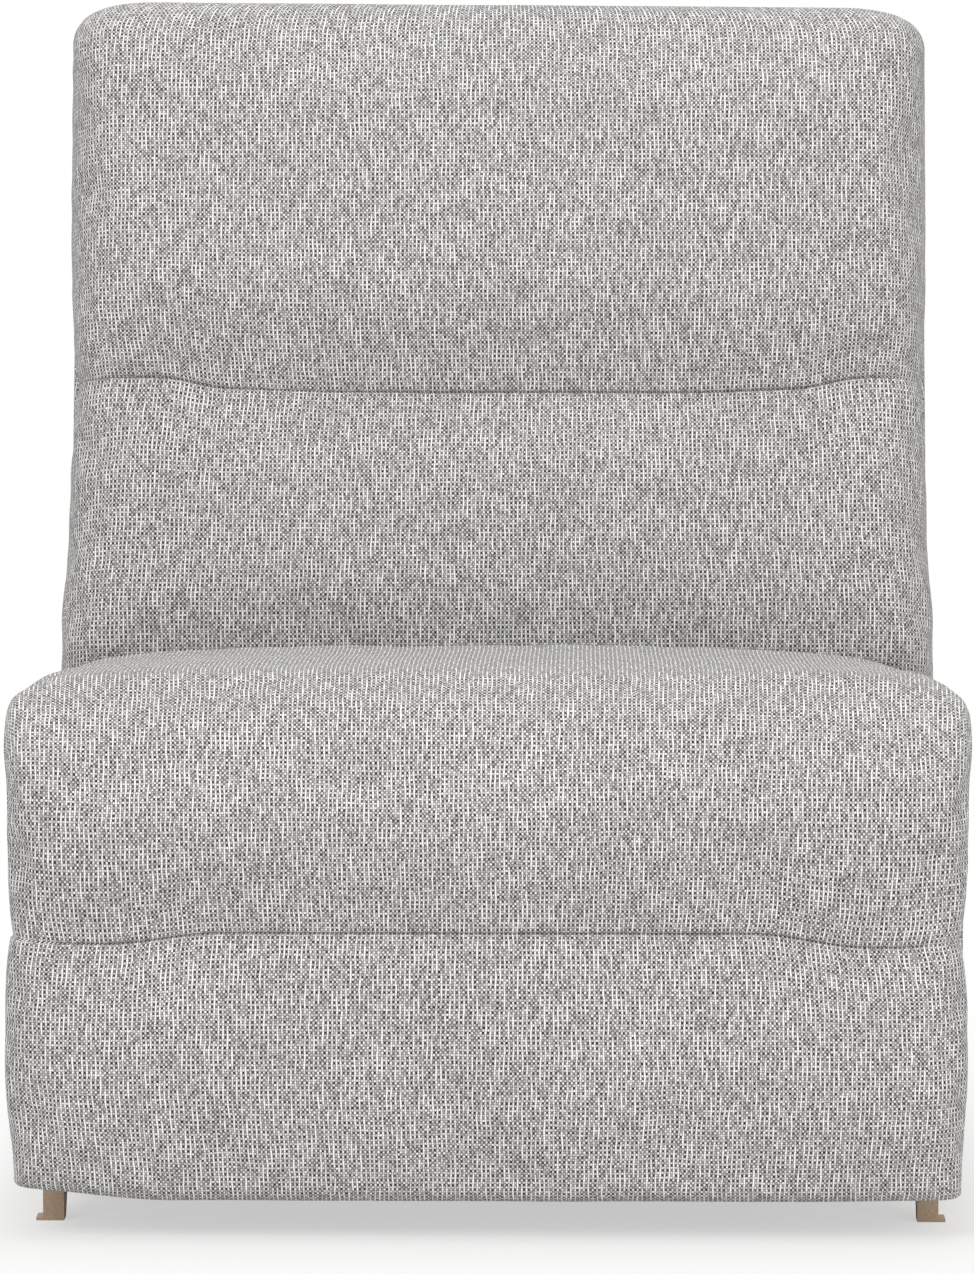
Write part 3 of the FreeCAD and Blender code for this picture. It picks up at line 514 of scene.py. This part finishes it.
# The seat's rear edge tucks under the back over a short length.
REAR_TUCK = 0.014
TUCK_REACH = 0.05
# Inner points keep a little apart, because the cloth needs edges that have a length.
INNER_TURN = 0.012
INNER_DROP = 0.002
INNER_GAP = 0.004
INNER_SHARE = 0.05
# The seat's sides lie below its middle, more at the rear than over the roll.
CROWN_FRONT = 0.010
CROWN_REAR_MORE = 0.014
CROWN_POWER = 3.6
CROWN_SHIFT = 0.03
# The seat starts a little low, because its filling swells it.
SEAT_START = -0.002
PAD_SWELL = 0.006
VALLEY_ABOVE = 0.024
VALLEY_BELOW = 0.013
SEAM_STEP_REACH = 0.06
SEAM_PINCH_REACH = 0.030
SEAM_END_RISE = 0.0035
FRONT_NARROWER = 0.0025
# The chaise's two sides differ: the seam's step, the lift of the hem's corner, how far seam and hem
# pull the side in, and how far it bulges, with more below the seam.
CHAISE_LEFT = {"step": 0.0095, "hem_lift": 0.010, "seam_pinch": 0.005, "hem_pinch": 0.007,
               "bulge": 0.003, "low_bulge": 0.0025}
CHAISE_RIGHT = {"step": 0.0115, "hem_lift": 0.001, "seam_pinch": 0.008, "hem_pinch": 0.005,
                "bulge": 0.0, "low_bulge": 0.0}


def chaise_path(sizes):
    """Stations of the chaise cover from the seat's rear to the hem, each an outer and an inner point."""
    top = SEAT_HIGH[2]
    under = SEAT_LOW[2] + 0.0005
    rear = SEAT_HIGH[1]
    inner_y = UPPER_HIGH[1]
    inner_top = under - INNER_GAP
    inner_low = HEM + INNER_GAP
    path = []
    for y in reversed(marks(FRONT + SEAT_ROLL, rear, sizes.fine, 1.4 * sizes.grid, False, True)):
        # The seat falls a little towards the back and tucks under it.
        fall = SEAT_FALL * smooth(FRONT + SEAT_ROLL, rear - 0.06, y)
        tuck = REAR_TUCK * (1 - smooth(0.0, TUCK_REACH, rear - y))
        path.append(((y, top - fall - tuck), (y, under)))
    for step in range(1, ROLL_STEPS):
        angle = math.pi / 2 * step / ROLL_STEPS
        inner = (inner_y + INNER_TURN * (1 - math.sin(angle)), under - INNER_DROP * math.sin(angle))
        outer = (FRONT + SEAT_ROLL * (1 - math.sin(angle)), top - SEAT_ROLL * (1 - math.cos(angle)))
        path.append((outer, inner))
    falls = marks(FRONT_SEAM, top - SEAT_ROLL, sizes.fine, sizes.grid, True, False)
    falls = marks(HEM + HEM_ROUND, FRONT_SEAM, sizes.fine, sizes.grid, False, True)[:-1] + falls
    for z in reversed(falls):
        path.append(((FRONT, z), (inner_y, min(z, inner_top + INNER_SHARE * (z - inner_top)))))
    for step in range(1, HEM_STEPS + 1):
        angle = math.pi / 2 * step / HEM_STEPS
        z = HEM + HEM_ROUND * (1 - math.sin(angle))
        inner = (inner_y, max(z, inner_low + INNER_SHARE * (z - inner_low)))
        path.append(((FRONT + HEM_ROUND * (1 - math.cos(angle)), z), inner))
    return path


def chaise_point(sizes, point, way, x, share, outer_z, front):
    """Shape the chaise's face: crowned seat, swelling pads, seam valley and uneven filling."""
    # The seat is highest a little left of its middle, and rounder at the rear than over the roll.
    crown_depth = CROWN_FRONT + CROWN_REAR_MORE * smooth(FRONT + SEAT_ROLL, SEAT_HIGH[1], point.y)
    seat_crown = SEAT_START - crown_depth * abs(share + CROWN_SHIFT) ** CROWN_POWER
    away = abs(outer_z - FRONT_SEAM)
    span = smooth(FRONT_SEAM, SEAT_HIGH[2] - 0.03, outer_z)
    if outer_z < FRONT_SEAM:
        span = (outer_z - HEM) / (FRONT_SEAM - HEM)
    swell = PAD_SWELL * math.sin(math.pi * min(1.0, max(0.0, span)))
    reach = VALLEY_ABOVE if outer_z > FRONT_SEAM else VALLEY_BELOW
    inward = seam_depth(sizes, away, reach) - swell - gathers(x, away, 2.0)
    edge_share = 1 - 0.5 * smooth(0.88, 1.0, abs(share))
    push = front * inward * edge_share - (1 - front) * seat_crown
    return point + way * (push - uneven(point, sizes.slack, 0.15, 0.0))


class RECLINER_OT_chaise(bpy.types.Operator):
    """Seat, front roll and leg-rest pads under one continuous cover"""
    bl_idname = "recliner.chaise"
    bl_label = "Chaise cover"

    def execute(self, context):
        sizes = context.scene.recliner_sizes
        stations = []
        seams = []
        grips = []
        for (outer_y, outer_z), (inner_y, inner_z) in chaise_path(sizes):
            seams.append(seam_shade(abs(outer_z - FRONT_SEAM)))
            ends = min(SEAT_HIGH[1] - outer_y, outer_z - HEM)
            grips.append(max(seam_grip(abs(outer_z - FRONT_SEAM)), seam_grip(ends)))
            way = Vector((0, inner_y - outer_y, inner_z - outer_z))
            thick = way.length
            way.normalize()
            front = smooth(SEAT_HIGH[2] - 0.02, SEAT_HIGH[2] - 0.10, outer_z)
            near_seam = math.exp(-abs(outer_z - FRONT_SEAM) / SEAM_PINCH_REACH) * front
            near_hem = front * smooth(0.15, HEM, outer_z)
            from_rear = max(0.0, SEAT_HIGH[1] - outer_y)
            half = HALF_SEAT + 0.001 - round_drop(REAR_CORNER, REAR_CORNER - from_rear)
            loop = []
            edge = sizes.edge_round * (0.55 + 0.45 * front)
            for x, deep in section(half, thick, min(edge, 0.6 * thick)):
                share = x / half
                side = CHAISE_LEFT if share < 0 else CHAISE_RIGHT
                fall = side["step"] * smooth(0.56, 0.80, abs(share))
                fall -= SEAM_END_RISE * smooth(0.86, 1.0, abs(share))
                lift = -fall * math.exp(-((outer_z - FRONT_SEAM) / SEAM_STEP_REACH) ** 2)
                lift += side["hem_lift"] * smooth(0.66, 1.0, abs(share)) * near_hem
                pinch = near_seam * side["seam_pinch"] + near_hem * side["hem_pinch"]
                bulge = side["low_bulge"] if outer_z < FRONT_SEAM else 0.0
                pinch += FRONT_NARROWER * front - (side["bulge"] + bulge)
                x -= share * pinch
                point = Vector((x, outer_y, outer_z + lift * front)) + way * deep
                if deep < 0.8 * thick:
                    fade = 1 - smooth(0.0, 0.8 * thick, deep)
                    shaped = chaise_point(sizes, point, way, x, share, outer_z, front)
                    point = point.lerp(shaped, fade)
                loop.append(point)
            stations.append(loop)
        made = swept("chaise_cover", stations, seams)
        settle(made, grips)
        soften(made)
        padded_piece(made, None, 0.8, "seat_cushion", "thigh_roll", "upper_leg_pad", "lower_leg_pad")
        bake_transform(made)
        return {"FINISHED"}


def on_back(x, v, w):
    """A point of the back's own frame in the scene."""
    return Vector((x, BACK_PIVOT.y + v * math.cos(LEAN) + w * math.sin(LEAN),
                   BACK_PIVOT.z - v * math.sin(LEAN) + w * math.cos(LEAN)))


OUT_OF_BACK = Vector((0, -math.cos(LEAN), math.sin(LEAN)))


def back_seam_rise(share):
    """The back's seam runs higher at both sides than in the middle; the left step is the longer one."""
    across = -share if share < 0 else share - 0.06
    return 0.010 * smooth(0.64, 0.80, across) + 0.004 * smooth(0.35, 0.72, across)


# Strength of the painted shade along the back pillows' seam.
PILLOW_SHADE = 0.9
SIDE_PINCH = 0.008
PINCH_REACH = 0.06
PINCH_SHIFT = 0.002
SEAM_RISE_REACH = 0.07
ROUND_STEPS = 12
FOOT_STEPS = 8
# A pillow's form: the rounding of its far end and of its corners there, how its sides flare, how its
# far edge sags, how proud its face stands, its crown and the length over which that rises, and the
# width of the valley beside its seam. The covers start a little flat, because their filling swells them.
UPPER_PILLOW = {"node": "upper_back_pillow", "low": BACK_SEAM, "high": BACK_TOP, "seam_low": True,
                "seed": 3.0, "far": 0.060, "side": 0.044, "flare": 0.0, "sag": 0.003, "proud": 0.008,
                "crown": 0.008, "roll": 0.070, "valley": 0.026}
LOWER_PILLOW = {"node": "lower_back_pillow", "low": BACK_LOW, "high": BACK_SEAM, "seam_low": False,
                "seed": 7.0, "far": 0.050, "side": 0.008, "flare": 0.004, "sag": 0.0, "proud": 0.0,
                "crown": 0.004, "roll": 0.090, "valley": 0.014}


def far_from_seam(form, w):
    """Distance from a pillow's far end, which is the one without the seam."""
    return form["high"] - w if form["seam_low"] else w - form["low"]


def pillow_loop(sizes, w, form):
    """One loop across a back pillow, at height w."""
    away = max(0.0, w - form["low"] if form["seam_low"] else form["high"] - w)
    other = far_from_seam(form, w)
    turn = form["far"] - min(other, form["far"])
    tuck = round_drop(form["far"], turn)
    half = HALF_BACK - round_drop(form["side"], form["side"] - min(other, form["side"]))
    pinch = math.exp(-away / PINCH_REACH)
    half -= SIDE_PINCH * pinch - form["flare"] * smooth(0.13, 0.21, away)
    # Away from the seam the pillow stands prouder than the one it meets.
    face = PILLOW_FRONT - form["proud"] * (0.2 + 0.8 * smooth(0.0, 0.07, away)) + tuck
    behind = PILLOW_REAR - 0.4 * tuck
    thick = behind - face
    crown = form["crown"] * smooth(0.0, form["roll"], away) * smooth(0.0, 0.12, other)
    loop = []
    for x, deep in section(half, thick, min(sizes.pillow_round, 0.45 * thick)):
        share = x / half
        rise = back_seam_rise(share) * math.exp(-away / SEAM_RISE_REACH)
        # The seam pulls the left side in further than the right.
        x += PINCH_SHIFT * pinch
        # The top edge sags a little to the right.
        rise -= form["sag"] * share * smooth(0.12, 0.0, other)
        point = on_back(x, face + deep, w + rise)
        if deep < 0.8 * thick:
            fade = 1 - smooth(0.0, 0.8 * thick, deep)
            valley = seam_depth(sizes, away, form["valley"]) * (1 - 0.6 * smooth(0.82, 1.0, abs(share)))
            lift = crown * (1 - share ** 4) - valley + gathers(x, away, form["seed"])
            lift += uneven(point, sizes.slack, 0.16, form["seed"])
            point += OUT_OF_BACK * lift * fade
        loop.append(point)
    return loop


def back_pillow(sizes, form, places):
    """One back pillow through loops at the given places up the back."""
    stations = [pillow_loop(sizes, w, form) for w in places]
    seams = [PILLOW_SHADE * seam_shade(w - BACK_SEAM) for w in places]
    grips = [seam_grip(min(abs(w - BACK_SEAM), far_from_seam(form, w))) for w in places]
    made = swept(form["node"] + "_cover", stations, seams)
    settle(made, grips)
    soften(made)
    padded_piece(made, "back", 0.75, form["node"])


class RECLINER_OT_back_pillows(bpy.types.Operator):
    """Upper and lower back pillows, which meet in one curved seam"""
    bl_idname = "recliner.back_pillows"
    bl_label = "Back pillows"

    def execute(self, context):
        sizes = context.scene.recliner_sizes
        far = UPPER_PILLOW["far"]
        straight = marks(BACK_SEAM - SEAM_LAP, BACK_TOP - far, sizes.fine, sizes.grid, True, False)
        rounded = [BACK_TOP - far * (1 - math.sin(math.pi / 2 * step / ROUND_STEPS))
                   for step in range(1, ROUND_STEPS + 1)]
        back_pillow(sizes, UPPER_PILLOW, straight + rounded)

        far = LOWER_PILLOW["far"]
        rounded = [BACK_LOW + far * (1 - math.cos(math.pi / 2 * step / FOOT_STEPS))
                   for step in range(FOOT_STEPS)]
        straight = marks(BACK_LOW + far, BACK_SEAM + SEAM_LAP, sizes.fine, sizes.grid, False, True)
        back_pillow(sizes, LOWER_PILLOW, rounded + straight)
        return {"FINISHED"}


def box_uv(made):
    """UVs in metres by the way each face looks."""
    mesh = made.data
    layer = mesh.uv_layers.get("UVMap") or mesh.uv_layers.new(name="UVMap")
    for polygon in mesh.polygons:
        facing = max(range(3), key=lambda axis: abs(polygon.normal[axis]))
        first, second = [axis for axis in range(3) if axis != facing]
        for index in polygon.loop_indices:
            spot = mesh.vertices[mesh.loops[index].vertex_index].co
            layer.data[index].uv = (spot[first], spot[second])


def covered_board(name, low, high, edge, puff, on_the_back=False):
    """A covered board: a cube at its size with rounded edges, subdivided, its faces slightly puffed."""
    bpy.ops.object.select_all(action="DESELECT")
    bpy.ops.mesh.primitive_cube_add(size=1.0)
    made = bpy.context.object
    made.name = name
    middle = (Vector(low) + Vector(high)) / 2
    extent = Vector(high) - Vector(low)
    bpy.ops.object.mode_set(mode="EDIT")
    bpy.ops.mesh.select_all(action="SELECT")
    bpy.ops.transform.resize(value=extent)
    bpy.ops.transform.translate(value=middle)
    bpy.ops.mesh.bevel(offset=edge, segments=4, affect="EDGES")
    bpy.ops.mesh.select_all(action="SELECT")
    bpy.ops.mesh.subdivide(number_cuts=3)
    bpy.ops.mesh.subdivide(number_cuts=3)
    bpy.ops.object.mode_set(mode="OBJECT")
    thin = min(range(3), key=lambda axis: extent[axis])
    others = [axis for axis in range(3) if axis != thin]
    for vertex in made.data.vertices:
        spot = vertex.co.copy()
        share = 1.0
        for axis in others:
            share *= max(0.0, 1 - ((spot[axis] - middle[axis]) / (extent[axis] / 2)) ** 4)
        side = 1 if spot[thin] > middle[thin] else -1
        spot[thin] += side * share * (puff + uneven(spot, 0.3 * puff, 0.14, 11.0))
        vertex.co = on_back(*spot) if on_the_back else spot
    made.data.update()
    box_uv(made)
    for polygon in made.data.polygons:
        polygon.use_smooth = True
    return made


class RECLINER_OT_leg_board(bpy.types.Operator):
    """Cloth pulled round the board of the leg rest"""
    bl_idname = "recliner.leg_board"
    bl_label = "Leg-rest board"

    def execute(self, context):
        low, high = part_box("leg_rest_board")
        made = covered_board("leg_rest_board_cover", low, high, edge=0.003, puff=0.0)
        padded_piece(made, "leg_rest", 0.95, "leg_rest_board")
        return {"FINISHED"}


class RECLINER_OT_back_shell(bpy.types.Operator):
    """Padded border behind the pillows and the covered rear panel"""
    bl_idname = "recliner.back_shell"
    bl_label = "Back shell"

    def execute(self, context):
        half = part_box("outside_back_panel")[1][0]
        made = covered_board("back_border_cover", (-half, PILLOW_REAR, SHELL_LOW),
                             (half, POST_REAR - 0.0002, SHELL_TOP), edge=BORDER_ROUND, puff=0.002,
                             on_the_back=True)
        padded_piece(made, "back", 0.9, "back_border")
        inset = half - BORDER_ROUND
        made = covered_board("outside_back_cover", (-inset, POST_REAR, PANEL_LOW),
                             (inset, POST_REAR + SKIN, SHELL_TOP - BORDER_ROUND), edge=0.0035, puff=0.0015,
                             on_the_back=True)
        padded_piece(made, "back", 0.9, "outside_back_panel")
        return {"FINISHED"}


class RECLINER_OT_side_panels(bpy.types.Operator):
    """Covered boards on both sides of the seat box; the right one is open for the switch"""
    bl_idname = "recliner.side_panels"
    bl_label = "Side panels"

    def execute(self, context):
        for side in ("left", "right"):
            node = f"side_panel_{side}"
            low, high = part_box(node)
            made = covered_board(node + "_cover", low, high, edge=0.006, puff=0.001)
            if side == "right":
                self.open_for_switch(made)
            padded_piece(made, "frame", 0.9, node)
        return {"FINISHED"}

    def open_for_switch(self, made):
        low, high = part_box("switch_bezel")
        lap = Vector((0.05, -0.003, -0.003))
        bpy.ops.object.select_all(action="DESELECT")
        bpy.ops.mesh.primitive_cube_add(size=1.0, location=(Vector(low) + Vector(high)) / 2)
        tool = bpy.context.object
        tool.scale = Vector(high) - Vector(low) + 2 * lap
        pick(made)
        hole = made.modifiers.new("opening", "BOOLEAN")
        hole.operation = "DIFFERENCE"
        hole.object = tool
        bpy.ops.object.modifier_apply(modifier="opening")
        pick(tool)
        bpy.ops.object.delete()


class RECLINER_OT_finishes(bpy.types.Operator):
    """Give every piece of the frame its finish"""
    bl_idname = "recliner.finishes"
    bl_label = "Frame finishes"

    def execute(self, context):
        make_finishes()
        for name, made in frame["nodes"].items():
            finish(made, SLOTS[name])
        return {"FINISHED"}


CAMERA_AT = Vector((0.078, -6.84, 1.055))
CAMERA_AIM = Vector((-0.002, -0.44, 0.508))
LENS_MM = 216.0
SENSOR_MM = 36.0
LAMP_AIM = Vector((0.0, 0.0, 0.5))
SKY_STRENGTH = 0.62
FLOOR_SIZE = 60.0


class RECLINER_OT_stage(bpy.types.Operator):
    """Pale floor, soft studio light and the camera at the photograph's angle"""
    bl_idname = "recliner.stage"
    bl_label = "Stage"

    def execute(self, context):
        context.scene.view_settings.view_transform = "Standard"
        self.floor()
        self.world(context.scene)
        self.lamps(context)
        self.camera(context)
        return {"FINISHED"}

    def floor(self):
        """Pale floor that takes the shadow, and is plain white to the camera farther out."""
        bpy.ops.object.select_all(action="DESELECT")
        bpy.ops.mesh.primitive_plane_add(size=FLOOR_SIZE)
        made = bpy.context.object
        made.name = "studio_floor"
        paint, tree, shader = new_material("studio_floor_paint")
        shader.inputs["Base Color"].default_value = linear("#DEDEDC")
        shader.inputs["Roughness"].default_value = 0.9
        place = add_node(tree, "ShaderNodeTexCoord").outputs["Object"]
        axes = add_node(tree, "ShaderNodeSeparateXYZ", {"Vector": place})
        beside = maths(tree, "SUBTRACT", maths(tree, "ABSOLUTE", axes.outputs[0]), HALF_SEAT)
        before = maths(tree, "SUBTRACT", maths(tree, "ABSOLUTE", axes.outputs[1]), -FRONT)
        # The shadow spreads further to the front than to the sides.
        away = maths(tree, "MAXIMUM", maths(tree, "MULTIPLY", beside, 8.0), before)
        seen = add_node(tree, "ShaderNodeLightPath").outputs["Is Camera Ray"]
        share = maths(tree, "MULTIPLY", spread(tree, away, -0.10, 0.70, 0.54, 1.0), seen)
        white = add_node(tree, "ShaderNodeEmission", {"Color": (1.0, 1.0, 1.0, 1.0), "Strength": 1.0})
        both = add_node(tree, "ShaderNodeMixShader", {0: share, 1: shader.outputs[0], 2: white.outputs[0]})
        tree.links.new(both.outputs[0], tree.nodes["Material Output"].inputs["Surface"])
        made.data.materials.append(paint)

    def world(self, scene):
        made = bpy.data.worlds.new("studio_world")
        scene.world = made
        made.use_nodes = True
        tree = made.node_tree
        sky = tree.nodes["Background"]
        sky.inputs["Color"].default_value = (1.0, 1.0, 1.0, 1.0)
        path = tree.nodes.new("ShaderNodeLightPath")
        seen = maths(tree, "MAXIMUM", path.outputs["Is Camera Ray"], path.outputs["Is Glossy Ray"])
        seen = maths(tree, "MAXIMUM", seen, path.outputs["Is Transmission Ray"])
        tree.links.new(spread(tree, seen, 0.0, 1.0, SKY_STRENGTH, 1.0), sky.inputs["Strength"])

    def lamps(self, context):
        spots = (("key_lamp", (-1.8, -3.4, 3.0), 98.0, 2.4), ("fill_lamp", (2.4, -3.6, 1.2), 62.0, 2.4),
                 ("top_lamp", (0.2, 0.0, 3.6), 40.0, 2.2))
        for name, spot, power, wide in spots:
            lamp = bpy.data.lights.new(name, "AREA")
            lamp.energy = power
            lamp.size = wide
            made = bpy.data.objects.new(name, lamp)
            made.location = spot
            made.rotation_euler = (LAMP_AIM - Vector(spot)).to_track_quat("-Z", "Y").to_euler()
            context.collection.objects.link(made)

    def camera(self, context):
        lens = bpy.data.cameras.new("photo_camera")
        made = bpy.data.objects.new("photo_camera", lens)
        context.collection.objects.link(made)
        made.location = CAMERA_AT
        made.rotation_euler = (CAMERA_AIM - CAMERA_AT).to_track_quat("-Z", "Y").to_euler()
        lens.lens = LENS_MM
        lens.sensor_width = SENSOR_MM
        lens.clip_end = 200.0
        context.scene.camera = made


class RECLINER_PT_panel(bpy.types.Panel):
    """Steps that dress the recliner, in order"""
    bl_label = "Recliner"
    bl_idname = "RECLINER_PT_panel"
    bl_space_type = "VIEW_3D"
    bl_region_type = "UI"
    bl_category = "Recliner"

    def draw(self, context):
        for step in STEPS:
            self.layout.operator(step.bl_idname)


STEPS = (RECLINER_OT_finishes, RECLINER_OT_chaise, RECLINER_OT_leg_board, RECLINER_OT_back_pillows,
         RECLINER_OT_back_shell, RECLINER_OT_side_panels, RECLINER_OT_stage)
CLASSES = (ReclinerSizes,) + STEPS + (RECLINER_PT_panel,)


def register():
    for item in CLASSES:
        bpy.utils.register_class(item)
    bpy.types.Scene.recliner_sizes = bpy.props.PointerProperty(type=ReclinerSizes)


def unregister():
    del bpy.types.Scene.recliner_sizes
    for item in reversed(CLASSES):
        bpy.utils.unregister_class(item)


def main():
    register()
    bpy.ops.recliner.finishes()
    bpy.ops.recliner.chaise()
    bpy.ops.recliner.leg_board()
    bpy.ops.recliner.back_pillows()
    bpy.ops.recliner.back_shell()
    bpy.ops.recliner.side_panels()
    bpy.ops.recliner.stage()


if __name__ == "__main__":
    main()
